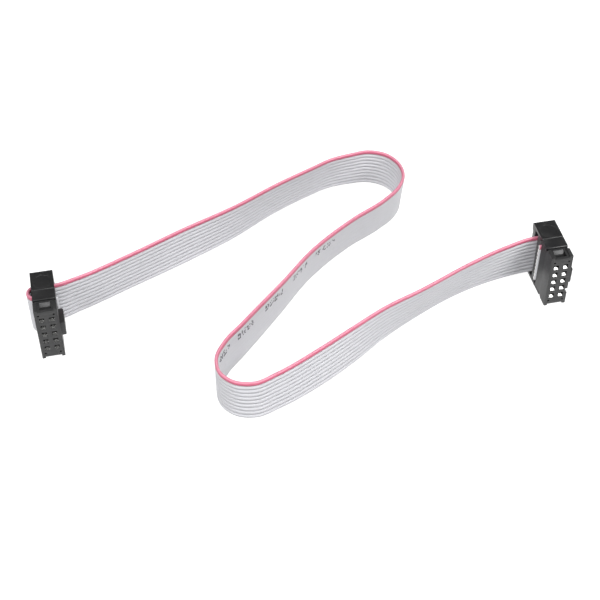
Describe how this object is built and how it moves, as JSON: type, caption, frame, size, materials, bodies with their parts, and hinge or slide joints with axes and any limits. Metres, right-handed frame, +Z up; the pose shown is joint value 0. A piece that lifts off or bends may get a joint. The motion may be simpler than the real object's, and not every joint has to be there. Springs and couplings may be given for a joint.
{
  "type": "flat ribbon cable with sockets",
  "caption": "Flat flexible ribbon of parallel wires with a keyed, strain-relieved insulation-displacement socket pressed on each end, standing on edge in a loose S.",
  "frame": {"origin": "on the surface the sockets stand on, midway between the two sockets along X, and 7.15 mm behind the middle of their two mating faces", "axes": "+X from the left socket to the right one, along the line between the two; +Y from the mating faces towards the strain reliefs; +Z up, along the rows of contacts, from the last wire towards the marked one"},
  "size_m": [0.1424, 0.0836, 0.0172],
  "materials": {
    "socket_plastic": "black glass-filled polyester with a fine spark-eroded texture",
    "cover_plastic": "black glass-filled polyester, slightly smoother than the body",
    "relief_plastic": "black glass-filled polyester with ejector and gate marks",
    "contact_metal": "stamped copper alloy with a bright tin plating",
    "ribbon_grey": "soft light-grey vinyl jacket, satin, grooved between its wires",
    "ribbon_red": "soft vinyl jacket with a pink-red marking ink along the first wire"
  },
  "bodies": {
    "root": {"left_socket_body": "socket_plastic", "left_cover": "cover_plastic", "left_strain_relief": "relief_plastic", "left_contact_1": "contact_metal", "left_contact_2": "contact_metal", "left_contact_3": "contact_metal", "left_contact_4": "contact_metal", "left_contact_5": "contact_metal", "left_contact_6": "contact_metal", "left_contact_7": "contact_metal", "left_contact_8": "contact_metal", "left_contact_9": "contact_metal", "left_contact_10": "contact_metal", "right_socket_body": "socket_plastic", "right_cover": "cover_plastic", "right_strain_relief": "relief_plastic", "right_contact_1": "contact_metal", "right_contact_2": "contact_metal", "right_contact_3": "contact_metal", "right_contact_4": "contact_metal", "right_contact_5": "contact_metal", "right_contact_6": "contact_metal", "right_contact_7": "contact_metal", "right_contact_8": "contact_metal", "right_contact_9": "contact_metal", "right_contact_10": "contact_metal", "ribbon_web": "ribbon_grey", "marked_wire": "ribbon_red"}
  },
  "joints": []
}
